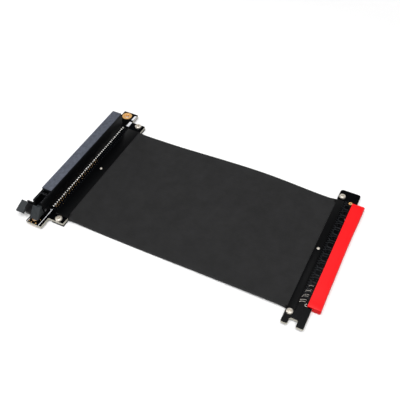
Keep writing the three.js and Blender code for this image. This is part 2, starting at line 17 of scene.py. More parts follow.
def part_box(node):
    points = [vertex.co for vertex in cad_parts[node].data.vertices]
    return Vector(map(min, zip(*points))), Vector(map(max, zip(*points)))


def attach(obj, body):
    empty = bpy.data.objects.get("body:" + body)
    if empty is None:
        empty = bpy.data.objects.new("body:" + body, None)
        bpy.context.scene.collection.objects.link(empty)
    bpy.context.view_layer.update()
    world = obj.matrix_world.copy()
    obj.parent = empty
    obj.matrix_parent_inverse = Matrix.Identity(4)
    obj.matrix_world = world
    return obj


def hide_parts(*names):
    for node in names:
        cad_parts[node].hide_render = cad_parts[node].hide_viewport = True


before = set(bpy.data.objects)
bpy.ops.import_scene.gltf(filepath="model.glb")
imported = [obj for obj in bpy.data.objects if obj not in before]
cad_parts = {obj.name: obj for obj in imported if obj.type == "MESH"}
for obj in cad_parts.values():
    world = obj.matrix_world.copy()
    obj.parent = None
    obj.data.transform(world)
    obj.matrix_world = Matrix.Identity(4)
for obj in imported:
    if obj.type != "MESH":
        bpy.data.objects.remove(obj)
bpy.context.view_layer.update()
MM = 0.001


def edges_of(node):
    low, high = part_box(node)
    return [round(value / MM, 3) for value in (*low, *high)]


# %% [markdown]
# The camera
#
# A camera sees a flat object well from about 45 degrees above. This one stands in front, on the
# plug board's side, 420 mm away, and looks down at the middle of the ribbon. It is aimed by a
# quaternion that turns its own -Z axis onto the line of sight and keeps its Y axis up.

# %% Camera
eye = Vector((125.8, -247.2, 310.5)) * MM
target = Vector((-0.4, 7.3, 0.0)) * MM

camera_data = bpy.data.cameras.new("camera")
camera_data.sensor_fit = "HORIZONTAL"
camera_data.sensor_width = 36.0
camera_data.lens = 54.84
camera_data.clip_start = 0.01
camera = bpy.data.objects.new("camera", camera_data)
camera.location = eye
camera.rotation_euler = (target - eye).to_track_quat("-Z", "Y").to_euler()
bpy.context.scene.collection.objects.link(camera)
bpy.context.scene.camera = camera
print("camera distance in mm:", round((target - eye).length / MM, 1))

# %% [markdown]
# Colours and nodes
#
# Colours are picked as sRGB hex values, the way a colour picker shows them, but shaders work in
# linear light, so one function converts them. A second one adds any node to a node tree with its
# settings and its links, which keeps each material down to a few readable lines.

# %% Helpers for materials
def linear(hex_colour):
    channels = [int(hex_colour[start:start + 2], 16) / 255 for start in (1, 3, 5)]
    curve = [c / 12.92 if c <= 0.04045 else ((c + 0.055) / 1.055) ** 2.4 for c in channels]
    return (*curve, 1.0)


def add(tree, kind, settings=None, links=None):
    node = tree.nodes.new(kind)
    for name, value in (settings or {}).items():
        if isinstance(name, int) or name in node.inputs:
            node.inputs[name].default_value = value
        else:
            setattr(node, name, value)
    for name, source in (links or {}).items():
        tree.links.new(source, node.inputs[name])
    return node


def start_material(name, settings):
    material = bpy.data.materials.new(name)
    material.use_nodes = True
    tree = material.node_tree
    tree.nodes.clear()
    shader = add(tree, "ShaderNodeBsdfPrincipled", settings)
    add(tree, "ShaderNodeOutputMaterial", {}, {"Surface": shader.outputs["BSDF"]})
    place = add(tree, "ShaderNodeTexCoord").outputs["Object"]
    return material, tree, shader, place


print("mid grey #808080 in linear light:", round(linear("#808080")[0], 3))

# %% [markdown]
# Light, backdrop and floor
#
# The photograph looks as if it was taken in a white sweep under one large soft lamp: blacks stay
# black and the shadows are short and faint. A broad lamp above, a little on the camera's side,
# does that. Flat glossy faces mirror what is behind the object, so they miss the lamp and go dark.
# A weaker lamp fills in from the left, and a weak strip behind is what the plug board's near end
# mirrors. The world is a white sweep up to about 13 degrees above the floor, and it fades to a dim
# ceiling at 30 degrees. Matt faces get half as much of it as mirrors do, so upright sides stay
# dark.

# %% Lamps
def lamp(name, place, aim, size, power):
    data = bpy.data.lights.new(name, "AREA")
    data.shape = "RECTANGLE"
    data.size, data.size_y = size
    data.energy = power
    light = bpy.data.objects.new(name, data)
    light.location = place
    light.rotation_euler = (Vector(aim) - Vector(place)).to_track_quat("-Z", "Y").to_euler()
    bpy.context.scene.collection.objects.link(light)
    print(f"{name}: {power} W")


lamp("overhead_softbox", (0.15, -0.40, 1.15), (0.0, 0.0, 0.0), (1.2, 0.9), 17.0)
lamp("left_softbox", (-1.0, -0.2, 0.65), (0.0, 0.0, 0.0), (0.6, 0.6), 3.0)
lamp("back_strip", (0.0, 0.5, 1.02), (0.09, -0.055, 0.0), (0.4, 0.22), 1.1)

# %% World
world = bpy.data.worlds.new("white_sweep")
bpy.context.scene.world = world
world.use_nodes = True
sky = world.node_tree
sky.nodes.clear()
direction = add(sky, "ShaderNodeTexCoord").outputs["Generated"]
height = add(sky, "ShaderNodeSeparateXYZ", {}, {"Vector": direction}).outputs["Z"]
level = add(sky, "ShaderNodeMapRange",
            {"From Min": 0.22, "From Max": 0.5, "To Min": 1.0, "To Max": 0.1}, {"Value": height})
matt_ray = add(sky, "ShaderNodeLightPath").outputs["Is Diffuse Ray"]
share = add(sky, "ShaderNodeMapRange", {"To Min": 1.0, "To Max": 0.5}, {"Value": matt_ray})
strength = add(sky, "ShaderNodeMath", {"operation": "MULTIPLY"},
               {0: level.outputs["Result"], 1: share.outputs["Result"]})
sweep = add(sky, "ShaderNodeBackground", {"Color": (1.0, 1.0, 1.0, 1.0)},
            {"Strength": strength.outputs[0]})
add(sky, "ShaderNodeOutputWorld", {}, {"Surface": sweep.outputs["Background"]})

# %% [markdown]
# The floor is a plain white sheet of paper. A little of its own light, seen only by camera and
# mirror rays, lifts it to white and leaves the shadow of the object on it. Farther out, where the
# lamps don't reach, it gets more of that light, so that it stays white up to the horizon.

# %% Floor
paper, tree, shader, place = start_material(
    "white_paper", {"Base Color": linear("#f7f7f7"), "Roughness": 0.9, "Specular IOR Level": 0.0})
path = add(tree, "ShaderNodeLightPath")
seen = add(tree, "ShaderNodeMath", {"operation": "MAXIMUM"},
           {0: path.outputs["Is Camera Ray"], 1: path.outputs["Is Glossy Ray"]})
seen = add(tree, "ShaderNodeMath", {"operation": "MAXIMUM"},
           {0: seen.outputs[0], 1: path.outputs["Is Transmission Ray"]})
outwards = add(tree, "ShaderNodeVectorMath", {"operation": "LENGTH"}, {0: place}).outputs["Value"]
own_light = add(tree, "ShaderNodeMapRange",
                {"From Min": 0.3, "From Max": 1.6, "To Min": 0.09, "To Max": 1.0}, {"Value": outwards})
lift = add(tree, "ShaderNodeMath", {"operation": "MULTIPLY"},
           {0: seen.outputs[0], 1: own_light.outputs["Result"]})
tree.links.new(lift.outputs[0], shader.inputs["Emission Strength"])
shader.inputs["Emission Color"].default_value = (1.0, 1.0, 1.0, 1.0)

bm = bmesh.new()
bmesh.ops.create_grid(bm, x_segments=1, y_segments=1, size=6.0)
floor_mesh = bpy.data.meshes.new("floor")
bm.to_mesh(floor_mesh)
bm.free()
floor_mesh.materials.append(paper)
floor = bpy.data.objects.new("floor", floor_mesh)
bpy.context.scene.collection.objects.link(floor)

# %% [markdown]
# Solder mask and board edges
#
# A circuit board is glass cloth in resin, and its faces carry copper under a skin of lacquer, the
# solder mask. Black mask is nearly black with a satin gloss, and the copper areas under it show as
# a faint change of tone. The sawn edge has no mask: it shows the pale resin and the thin layers
# of glass.

# %% Board materials
solder_mask, tree, shader, place = start_material(
    "solder_mask", {"Roughness": 0.26, "Specular IOR Level": 0.08})
# Copper areas are a few millimetres across
areas = add(tree, "ShaderNodeTexVoronoi", {"Scale": 1 / (3.0 * MM), "distance": "MANHATTAN"},
            {"Vector": place})
tone = add(tree, "ShaderNodeMix", {"data_type": "RGBA", 6: linear("#010102"), 7: linear("#040507")},
           {"Factor": areas.outputs["Color"]})
tree.links.new(tone.outputs[2], shader.inputs["Base Color"])
# The lacquer settles in soft waves of about half a millimetre
waves = add(tree, "ShaderNodeTexNoise", {"Scale": 1 / (0.5 * MM), "Detail": 2.0}, {"Vector": place})
bump = add(tree, "ShaderNodeBump", {"Strength": 0.12, "Distance": 0.05 * MM},
           {"Height": waves.outputs["Fac"]})
tree.links.new(bump.outputs["Normal"], shader.inputs["Normal"])

board_edge, tree, shader, place = start_material("glass_epoxy_edge", {"Roughness": 0.75})
# Layers of glass cloth, 0.2 mm apart, run level round the edge
stretch = add(tree, "ShaderNodeMapping", {"Scale": (0.08, 0.08, 1.0)}, {"Vector": place})
layers = add(tree, "ShaderNodeTexNoise", {"Scale": 1 / (0.2 * MM), "Detail": 3.0},
             {"Vector": stretch.outputs["Vector"]})
tone = add(tree, "ShaderNodeMix", {"data_type": "RGBA", 6: linear("#9a968a"), 7: linear("#cdc9bc")},
           {"Factor": layers.outputs["Fac"]})
tree.links.new(tone.outputs[2], shader.inputs["Base Color"])

# %% [markdown]
# Copper, gold, solder and ink
#
# Contacts are copper with nickel and a breath of gold, so they are smooth and warm. Solder cools
# with a bright, slightly rippled skin. White ink is printed through a screen and is dry and matt.
# Tracks under the mask are little paler than the mask, but stand proud and catch the light on
# their edges. A bare track is dipped in tin, which leaves it silvery and dull in spots.

# %% Plating, solder and ink
gold_plating, tree, shader, place = start_material(
    "gold_plating", {"Base Color": linear("#ffd08c"), "Metallic": 1.0})
# Brushing before the plating bath leaves scratches some tenths of a millimetre apart
scratches = add(tree, "ShaderNodeTexNoise", {"Scale": 1 / (0.3 * MM), "Detail": 4.0}, {"Vector": place})
rough = add(tree, "ShaderNodeMapRange", {"To Min": 0.5, "To Max": 0.7},
            {"Value": scratches.outputs["Fac"]})
tree.links.new(rough.outputs["Result"], shader.inputs["Roughness"])

solder, tree, shader, place = start_material(
    "tin_solder", {"Base Color": linear("#faf8f4"), "Metallic": 0.35, "Roughness": 0.45})
ripple = add(tree, "ShaderNodeTexNoise", {"Scale": 1 / (0.25 * MM), "Detail": 2.0}, {"Vector": place})
bump = add(tree, "ShaderNodeBump", {"Strength": 0.3, "Distance": 0.05 * MM},
           {"Height": ripple.outputs["Fac"]})
tree.links.new(bump.outputs["Normal"], shader.inputs["Normal"])

screen_ink, tree, shader, place = start_material(
    "screen_printed_ink", {"Roughness": 0.7})
# The screen's mesh leaves the ink a little thinner every third of a millimetre
mesh_marks = add(tree, "ShaderNodeTexNoise", {"Scale": 1 / (0.33 * MM)}, {"Vector": place})
tone = add(tree, "ShaderNodeMix", {"data_type": "RGBA", 6: linear("#c9cad2"), 7: linear("#f4f4f6")},
           {"Factor": mesh_marks.outputs["Fac"]})
tree.links.new(tone.outputs[2], shader.inputs["Base Color"])

masked_copper, tree, shader, place = start_material(
    "masked_copper", {"Roughness": 0.28, "Specular IOR Level": 0.15})
# The lacquer lies thinner on some tracks than on others, so they differ every 1.6 mm or so
spread = add(tree, "ShaderNodeTexNoise", {"Scale": 1 / (1.6 * MM), "Detail": 2.0}, {"Vector": place})
tone = add(tree, "ShaderNodeMix", {"data_type": "RGBA", 6: linear("#040506"), 7: linear("#303336")},
           {"Factor": spread.outputs["Fac"]})
tree.links.new(tone.outputs[2], shader.inputs["Base Color"])

tinned_copper, tree, shader, place = start_material(
    "tinned_copper", {"Base Color": linear("#cfc9c0"), "Metallic": 1.0})
# The tin's dull spots are about half a millimetre across
film = add(tree, "ShaderNodeTexNoise", {"Scale": 1 / (0.6 * MM), "Detail": 3.0}, {"Vector": place})
rough = add(tree, "ShaderNodeMapRange", {"To Min": 0.4, "To Max": 0.6}, {"Value": film.outputs["Fac"]})
tree.links.new(rough.outputs["Result"], shader.inputs["Roughness"])

# %% [markdown]
# Moulded plastics
#
# The slot housing and the clamp bars are glass-filled nylon: hard, black, with a spark-eroded
# grain of a few tenths of a millimetre. The dust cover and the latch come from softer, paler
# plastics, a slate grey one with a coarse matt grain, and a dark grey one that is rubbed lighter
# in patches.

# %% Plastics
def moulded(name, dark, light, grain, roughness, specular, depth):
    material, tree, shader, place = start_material(
        name, {"Roughness": roughness, "Specular IOR Level": specular})
    blotches = add(tree, "ShaderNodeTexNoise",
                   {"Scale": 1 / (8 * grain * MM), "Detail": 5.0, "Roughness": 0.65}, {"Vector": place})
    tone = add(tree, "ShaderNodeMix", {"data_type": "RGBA", 6: linear(dark), 7: linear(light)},
               {"Factor": blotches.outputs["Fac"]})
    tree.links.new(tone.outputs[2], shader.inputs["Base Color"])
    pits = add(tree, "ShaderNodeTexNoise", {"Scale": 1 / (grain * MM), "Detail": 3.0},
               {"Vector": place})
    bump = add(tree, "ShaderNodeBump", {"Strength": depth, "Distance": 0.06 * MM},
               {"Height": pits.outputs["Fac"]})
    tree.links.new(bump.outputs["Normal"], shader.inputs["Normal"])
    return material


housing_nylon = moulded("glass_filled_nylon", "#030304", "#0a0b0d", 0.25, 0.45, 0.1, 0.35)
clamp_nylon = moulded("clamp_nylon", "#08090a", "#121315", 0.3, 0.55, 0.3, 0.3)
dust_cover_plastic = moulded("slate_polypropylene", "#1f232a", "#676c7a", 0.3, 0.7, 0.35, 0.9)
# Darker copy of the slate plastic for the dust cover's sides: painted shade
cover_painted_shade = moulded("slate_polypropylene_painted_shade", "#0c0d10", "#1c1e23", 0.3, 0.7, 0.15, 0.9)
latch_plastic = moulded("grey_nylon", "#15181a", "#303538", 0.3, 0.55, 0.35, 0.5)
# Paler nylon for the housing's upward rims: a painted highlight
rim_painted_highlight_nylon = moulded("rim_painted_highlight_nylon", "#3a3c40", "#66696e", 0.3, 0.5, 0.4, 0.3)
wire_film = moulded("matt_polyester_film", "#020203", "#060708", 0.5, 0.36, 0.09, 0.1)

# %% [markdown]
# Ribbon jacket
#
# Flat shielded wires lie side by side under a thin matt black jacket. It follows them, so it has
# shallow ribs along its length, 2 mm apart, and a fine grain. Handling leaves it slightly uneven
# in tone. The ribs run along X, so a wave texture reads the Y coordinate.

# %% Jacket material
ribbon_jacket, tree, shader, place = start_material(
    "matt_pvc_jacket", {"Roughness": 0.72, "Specular IOR Level": 0.25})
clouds = add(tree, "ShaderNodeTexNoise", {"Scale": 1 / (9 * MM), "Detail": 6.0, "Roughness": 0.68},
             {"Vector": place})
tone = add(tree, "ShaderNodeMix", {"data_type": "RGBA", 6: linear("#0f0f0f"), 7: linear("#282829")},
           {"Factor": clouds.outputs["Fac"]})
tree.links.new(tone.outputs[2], shader.inputs["Base Color"])
# A wave texture has about 3.18 bands per unit of scale and length
wave_bands = 3.18
ribs = add(tree, "ShaderNodeTexWave", {"bands_direction": "Y", "Scale": 1 / (2.0 * wave_bands * MM),
                                       "Distortion": 0.6, "Detail": 1.0}, {"Vector": place})
grain = add(tree, "ShaderNodeTexNoise", {"Scale": 1 / (0.5 * MM), "Detail": 4.0}, {"Vector": place})
relief = add(tree, "ShaderNodeMix", {"data_type": "FLOAT", "Factor": 0.55},
             {2: ribs.outputs["Fac"], 3: grain.outputs["Fac"]})
bump = add(tree, "ShaderNodeBump", {"Strength": 0.25, "Distance": 0.12 * MM},
           {"Height": relief.outputs[0]})
tree.links.new(bump.outputs["Normal"], shader.inputs["Normal"])

# %% [markdown]
# Red vinyl and nickel-plated steel
#
# The push-on cover is soft vinyl: strong red, low gloss, a little wavy where it was pulled out of
# its mould. The screws are steel with a satin nickel skin, and the latch's pin is plain turned
# steel.

# %% Vinyl and steel
red_vinyl, tree, shader, place = start_material(
    "red_vinyl", {"Roughness": 0.42, "Specular IOR Level": 0.32})
# Its red shifts a little over a centimetre, and its skin waves every few millimetres
sag = add(tree, "ShaderNodeTexNoise", {"Scale": 1 / (9 * MM), "Detail": 3.0}, {"Vector": place})
tone = add(tree, "ShaderNodeMix", {"data_type": "RGBA", 6: linear("#f0050c"), 7: linear("#fb0d17")},
           {"Factor": sag.outputs["Fac"]})
tree.links.new(tone.outputs[2], shader.inputs["Base Color"])
skin = add(tree, "ShaderNodeTexNoise", {"Scale": 1 / (2.5 * MM), "Detail": 3.0}, {"Vector": place})
bump = add(tree, "ShaderNodeBump", {"Strength": 0.25, "Distance": 0.2 * MM},
           {"Height": skin.outputs["Fac"]})
tree.links.new(bump.outputs["Normal"], shader.inputs["Normal"])

red_painted_shade, tree, shader, place = start_material(
    "red_vinyl_painted_shade", {"Roughness": 0.55, "Specular IOR Level": 0.15})
# The sides are duller than the top, and their deeper red is painted shade; it shifts in patches a few
# millimetres across
streaks = add(tree, "ShaderNodeTexNoise", {"Scale": 1 / (4 * MM), "Detail": 3.0}, {"Vector": place})
tone = add(tree, "ShaderNodeMix", {"data_type": "RGBA", 6: linear("#c40008"), 7: linear("#dc000a")},
           {"Factor": streaks.outputs["Fac"]})
tree.links.new(tone.outputs[2], shader.inputs["Base Color"])

nickel_steel, tree, shader, place = start_material(
    "nickel_plated_steel", {"Base Color": linear("#d8d1c6"), "Metallic": 0.75})
# The satin comes from tumbling before plating, which leaves fine dents
satin = add(tree, "ShaderNodeTexNoise", {"Scale": 1 / (0.2 * MM), "Detail": 4.0}, {"Vector": place})
rough = add(tree, "ShaderNodeMapRange", {"To Min": 0.38, "To Max": 0.62},
            {"Value": satin.outputs["Fac"]})
tree.links.new(rough.outputs["Result"], shader.inputs["Roughness"])

turned_steel, tree, shader, place = start_material(
    "turned_steel", {"Base Color": linear("#a3a3a5"), "Metallic": 1.0})
# Turning marks are rings round the pin, which lies along X
marks = add(tree, "ShaderNodeTexWave", {"bands_direction": "X", "Scale": 1 / (0.2 * wave_bands * MM)},
            {"Vector": place})
rough = add(tree, "ShaderNodeMapRange", {"To Min": 0.3, "To Max": 0.45},
            {"Value": marks.outputs["Fac"]})
tree.links.new(rough.outputs["Result"], shader.inputs["Roughness"])
print("materials made:", len(bpy.data.materials))

# %% [markdown]
# From bmesh to a piece
#
# Each piece ends the same way: its normals are made to face outwards, it gets its materials, its
# curved faces are shaded smooth while edges sharper than 35 degrees stay crisp, and it rides on a
# body of the frame. A piece that stands for CAD nodes hides them.

# %% Finishing a piece
def finish_piece(bm, name, materials, body="riser", replaces=(), sharp=35):
    bmesh.ops.recalc_face_normals(bm, faces=bm.faces)
    mesh = bpy.data.meshes.new(name)
    bm.to_mesh(mesh)
    bm.free()
    for material in materials:
        mesh.materials.append(material)
    mesh.shade_smooth()
    mesh.set_sharp_from_angle(angle=math.radians(sharp))
    piece = bpy.data.objects.new(name, mesh)
    bpy.context.scene.collection.objects.link(piece)
    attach(piece, body)
    if replaces:
        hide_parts(*replaces)
    print(f"{name}: {len(mesh.polygons)} faces")
    return piece


def verts_of(result):
    return [item for item in result["geom"] if isinstance(item, bmesh.types.BMVert)]


def add_block(bm, x0, x1, y0, y1, z0, z1):
    middle = Vector(((x0 + x1) / 2, (y0 + y1) / 2, (z0 + z1) / 2)) * MM
    size = Matrix.Diagonal((x1 - x0, y1 - y0, z1 - z0, 1000.0)) * MM
    return bmesh.ops.create_cube(bm, size=1.0, matrix=Matrix.Translation(middle) @ size)["verts"]


# %% [markdown]
# Circuit boards
#
# A board is routed from a flat sheet, so the operators follow that: the outline is a closed chain
# of edges, vertex bevels round its corners, circles add the holes, one fill makes the face
# between them, and one extrusion gives it its thickness. Faces that stand upright get the
# second material, the pale bare edge.

# %% Routing a board
board_low, board_high = edges_of("plug_board")[2], edges_of("plug_board")[5]


def routed_board(corners, holes):
    bm = bmesh.new()
    chain = [bm.verts.new((x * MM, y * MM, board_low * MM)) for x, y, _ in corners]
    for index, corner in enumerate(chain):
        bm.edges.new((chain[index - 1], corner))
    for corner, (_, _, radius) in zip(chain, corners):
        if radius:
            bmesh.ops.bevel(bm, geom=[corner], offset=radius * MM, offset_type="OFFSET", segments=5,
                            profile=0.5, affect="VERTICES", material=-1)
    for x, y, radius in holes:
        bmesh.ops.create_circle(bm, cap_ends=False, radius=radius * MM, segments=32,
                                matrix=Matrix.Translation((x * MM, y * MM, board_low * MM)))
    bmesh.ops.triangle_fill(bm, use_beauty=True, edges=bm.edges[:], normal=(0.0, 0.0, 1.0))
    raised = verts_of(bmesh.ops.extrude_face_region(bm, geom=bm.faces[:]))
    bmesh.ops.translate(bm, verts=raised, vec=(0.0, 0.0, (board_high - board_low) * MM))
    bm.normal_update()
    for face in bm.faces:
        face.material_index = 1 if abs(face.normal.z) < 0.5 else 0
    return bm


# %% Slot board
strip_left, cable_right, end_y = (edges_of("slot_board")[index] for index in (0, 3, 4))
strip_width, plug_strip_width = 12.0, 14.0
strip_right = strip_left + strip_width
cable_near, cable_far = -54.8, 54.0
slot_x = (edges_of("slot_housing")[0] + edges_of("slot_housing")[3]) / 2
screw_x = (edges_of("slot_screw_near")[0] + edges_of("slot_screw_near")[3]) / 2
screw_near, screw_far, rivet_y = -52.4, 51.6, -0.4
eyelet_y = 59.0
corner = 0.6
eyelet_bore, screw_bore, rivet_bore, pad_bore = 2.1, 1.4, 0.95, 0.55

bm = routed_board(
    [(strip_left, -end_y, corner), (strip_right, -end_y, corner), (strip_right, cable_near, 0.4),
     (cable_right, cable_near, corner), (cable_right, cable_far, corner), (strip_right, cable_far, 0.4),
     (strip_right, end_y, corner), (strip_left, end_y, corner)],
    [(slot_x, -eyelet_y, eyelet_bore), (slot_x, eyelet_y, eyelet_bore),
     (screw_x, screw_near, screw_bore), (screw_x, screw_far, screw_bore),
     (screw_x, rivet_y, rivet_bore)])
finish_piece(bm, "slot_circuit_board", [solder_mask, board_edge],
             replaces=["slot_board"])

# %% Plug board
plug_left, plug_near, _, tongue_edge, plug_far, _ = edges_of("plug_board")
plug_right = plug_left + plug_strip_width
tongue_near, tongue_far = -41.1, 43.9
key_near, key_far, key_end = 30.35, 32.25, plug_left + 10.0
notch_left, notch_right, notch_end = plug_left + 4.1, plug_left + 9.4, -55.0
plug_screw_x = (edges_of("plug_screw_near")[0] + edges_of("plug_screw_near")[3]) / 2
plug_screw_near, plug_screw_far = -51.4, 50.6
pad_edges = edges_of("plug_ground_pad")
pad_x, pad_y = (pad_edges[0] + pad_edges[3]) / 2, (pad_edges[1] + pad_edges[4]) / 2

bm = routed_board(
    [(plug_left, plug_near, 0.8), (notch_left, plug_near, 0.8), (notch_left, notch_end, 1.3),
     (notch_right, notch_end, 1.3), (notch_right, plug_near, 0.8), (plug_right, plug_near, 0.8),
     (plug_right, tongue_near, 0.3), (tongue_edge, tongue_near, 0.8), (tongue_edge, key_near, 0.1),
     (key_end, key_near, 0.9), (key_end, key_far, 0.9), (tongue_edge, key_far, 0.1),
     (tongue_edge, tongue_far, 0.8), (plug_right, tongue_far, 0.3), (plug_right, plug_far, 1.8),
     (plug_left, plug_far, 1.8)],
    [(plug_screw_x, plug_screw_near, screw_bore), (plug_screw_x, plug_screw_far, screw_bore),
     (plug_screw_x, rivet_y, rivet_bore), (pad_x, pad_y, pad_bore)])
finish_piece(bm, "plug_circuit_board", [solder_mask, board_edge],
             replaces=["plug_board"])

# %% [markdown]
# Tracks and vias on the plug board
#
# Between the wire cover and the red cover the mask follows the copper tracks. They leave the
# wires in pairs, bend, and run on to the contacts. A track is made the way it is drawn: a short
# edge across its width is extruded ahead for a straight and spun round a centre for a bend. The
# strip is then extruded upwards, so that it is a closed, flat bar that stands proud of the board.

# %% Drawing a track
track_height, track_lift = 0.045, 0.004


def draw_track(bm, x, y, heading, width, moves):
    angle = math.radians(heading)
    along = Vector((math.cos(angle), math.sin(angle), 0.0))
    side = Vector((-along.y, along.x, 0.0))
    place = Vector((x, y, board_high + track_lift))
    ends = [bm.verts.new((place + reach * width / 2) * MM) for reach in (side, -side)]
    front = [*ends, bm.edges.new(ends)]
    strip = []
    for kind, amount, radius in moves:
        edge = [item for item in front if isinstance(item, bmesh.types.BMEdge)]
        if kind == "ahead":
            made = bmesh.ops.extrude_edge_only(bm, edges=edge)["geom"]
            front = [item for item in made if not isinstance(item, bmesh.types.BMFace)]
            strip += [item for item in made if isinstance(item, bmesh.types.BMFace)]
            bmesh.ops.translate(bm, verts=[v for v in front if isinstance(v, bmesh.types.BMVert)],
                                vec=along * amount * MM)
            front = [v for v in front if isinstance(v, bmesh.types.BMVert)]
            front.append(bm.edges.get(front))
            place = place + along * amount
            continue
        turn = math.radians(amount)
        centre = place + side * math.copysign(radius, amount)
        before = set(bm.faces)
        made = bmesh.ops.spin(bm, geom=front, cent=centre * MM, axis=(0.0, 0.0, 1.0), angle=turn,
                              steps=5, use_duplicate=False)
        strip += [face for face in bm.faces if face not in before]
        front = made["geom_last"]
        spun = Matrix.Rotation(turn, 3, "Z")
        place = centre + spun @ (place - centre)
        along, side = spun @ along, spun @ side
    raised = verts_of(bmesh.ops.extrude_face_region(bm, geom=strip))
    bmesh.ops.translate(bm, verts=raised, vec=(0.0, 0.0, track_height * MM))


# %% Signal tracks
bm = bmesh.new()
pair_pitch = 2.0
pair_count = 43
for index in range(pair_count):
    y = -36.6 + index * pair_pitch
    lean = 45 if index % 3 else -45
    bend = 0.6 + 0.2 * (index % 2)
    for offset in (-0.24, 0.24):
        draw_track(bm, plug_left + 5.35, y + offset, 0, 0.24, [
            ("ahead", 0.5 + 0.4 * (index % 2), 0), ("turn", lean, bend + 0.3), ("ahead", 0.9, 0),
            ("turn", -lean, bend), ("ahead", 2.2, 0)])
finish_piece(bm, "plug_board_tracks", [masked_copper])

# %% [markdown]
# At the board's prong end the ground tracks are bare of mask and tinned. They curve out from the
# wires as thin arcs, which get shorter and finer from the prongs on, and a wider hook starts the
# row.

# %% Ground tracks
bm = bmesh.new()
arcs = [(5.5, -42.6, 2.6), (5.5, -41.2, 3.2), (5.6, -38.4, 2.8), (6.0, -37.0, 2.2),
        (6.2, -33.9, 2.0), (6.4, -32.6, 1.8), (6.8, -29.6, 1.2)]
for index, (x, y, reach) in enumerate(arcs):
    draw_track(bm, plug_left + x, y, 75, 0.32 - 0.02 * index,
               [("turn", -55, 1.5), ("ahead", reach * 0.5, 0), ("turn", -30, 2.2)])
draw_track(bm, plug_left + 10.8, -43.9, 180, 0.4,
           [("ahead", 0.8, 0), ("turn", -150, 0.8), ("ahead", 0.6, 0)])
finish_piece(bm, "plug_ground_tracks", [tinned_copper])

# %% [markdown]
# Vias and test pads
#
# A via is a plated hole that takes a signal to the other face. Under the mask it shows as a small
# dome. Test pads have no mask, so they are gold specks. Each dot is a low cone without its point,
# sunk a little into the board so that no gap shows under it.

# %% Vias
sunk, via_height, pad_height = 0.02, 0.08, 0.09


def add_dot(bm, x, y, radius, height, segments=8):
    middle = Matrix.Translation((x * MM, y * MM, (board_high - sunk + height / 2) * MM))
    bmesh.ops.create_cone(bm, cap_ends=True, segments=segments, radius1=radius * MM,
                          radius2=radius * 0.75 * MM, depth=height * MM, matrix=middle)


bm = bmesh.new()
plug_via_count, plug_via_radius = 44, 0.33
for index in range(plug_via_count):
    y = -37.6 + index * pair_pitch
    add_dot(bm, plug_left + 6.6 + 0.9 * (index % 2), y, plug_via_radius, via_height)
    add_dot(bm, plug_left + 9.6 + 0.7 * ((index + 1) % 2), y + 0.2, plug_via_radius, via_height)
finish_piece(bm, "plug_board_vias", [masked_copper])

bm = bmesh.new()
slot_via_count, slot_via_radius = 47, 0.36
for index in range(slot_via_count):
    y = cable_near + 8.4 + index * pair_pitch
    add_dot(bm, slot_x + 6.4, y, slot_via_radius, via_height)
    add_dot(bm, slot_x + 8.3, y + 1.0, slot_via_radius, via_height)
finish_piece(bm, "slot_board_vias", [masked_copper])

# %% Test pads
bm = bmesh.new()
for x, y, radius in [(12.9, -48.9, 0.4), (12.3, -47.3, 0.4), (12.0, -45.6, 0.4), (11.7, -43.6, 0.35),
                     (10.6, -41.5, 0.35), (9.0, -39.7, 0.35), (13.7, -49.8, 0.35), (2.6, -62.2, 0.5),
                     (-0.6, -62.6, 0.4), (-2.9, -62.0, 0.35), (3.4, -58.4, 0.35)]:
    add_dot(bm, slot_x + x, y, radius, pad_height)
speck_count, speck_sides = 26, 6
for index in range(speck_count):
    y = -43.4 + index * pair_pitch
    add_dot(bm, slot_x + 5.35, y, 0.22, pad_height, speck_sides)
    add_dot(bm, slot_x + 6.3 + 0.5 * (index % 2), y - 0.6, 0.2, pad_height, speck_sides)
finish_piece(bm, "slot_test_pads", [gold_plating])

# %% [markdown]
# White print
#
# Guide lines are printed on the slot board in white ink: a line at the latch end, a short tick
# where it meets the solder joints, another on the latch's far side, and two thick bars at the
# other end. They are thin slabs that stand 0.03 mm proud, which is thick for ink but never
# flickers against the board.

# %% Guide lines
bm = bmesh.new()
ink_top = board_high + 0.03
for x0, x1, y0, y1 in [(5.15, 5.55, -63.2, -47.0), (5.5, 7.6, 48.5, 53.9), (5.5, 7.2, 56.2, 61.5),
                       (3.8, 4.9, -47.9, -47.5), (-3.8, -3.45, -63.2, -60.0)]:
    add_block(bm, slot_x + x0, slot_x + x1, y0, y1, board_high - sunk, ink_top)
finish_piece(bm, "slot_board_print", [screen_ink])

# %% [markdown]
# Solder
#
# On top, a row of solder joints stands beside the slot, 2 mm apart. Underneath, each contact of
# the slot ends in a cone of solder round its cut tail. Both are repeated many times, so each one
# has only a few dozen faces.

# %% Solder beads
bm = bmesh.new()
bead_x, bead_start, bead_pitch, bead_count, bead_radius = slot_x + 4.35, -44.4, 2.0, 46, 0.61
flat = Matrix.Diagonal((1.05, 1.0, 0.85, 1.0))
for index in range(bead_count):
    y = bead_start + index * bead_pitch
    swell = 1.0 + 0.12 * math.sin(index * 2.3)
    spot = Matrix.Translation((bead_x * MM, y * MM, board_high * MM))
    bmesh.ops.create_uvsphere(bm, u_segments=8, v_segments=6, radius=bead_radius * swell * MM,
                              matrix=spot @ flat)
finish_piece(bm, "slot_solder_beads", [solder])

# %% Solder cones under the slot
bm = bmesh.new()
groove_far, key_gap, short_row, long_row = 44.4, 1.9, 11, 71
rows = [groove_far - 0.85 - index for index in range(short_row)]
rows += [groove_far - 11.65 - key_gap - 0.7 - index for index in range(long_row)]
for number, y in enumerate(rows):
    for side in (-1, 1):
        x = slot_x + side * (1.25 if number % 2 else 2.6)
        spot = Matrix.Translation((x * MM, y * MM, (board_low - 0.6) * MM))
        bmesh.ops.create_cone(bm, cap_ends=True, segments=8, radius1=0.14 * MM, radius2=0.45 * MM,
                              depth=1.3 * MM, matrix=spot)
finish_piece(bm, "slot_solder_cones", [solder])
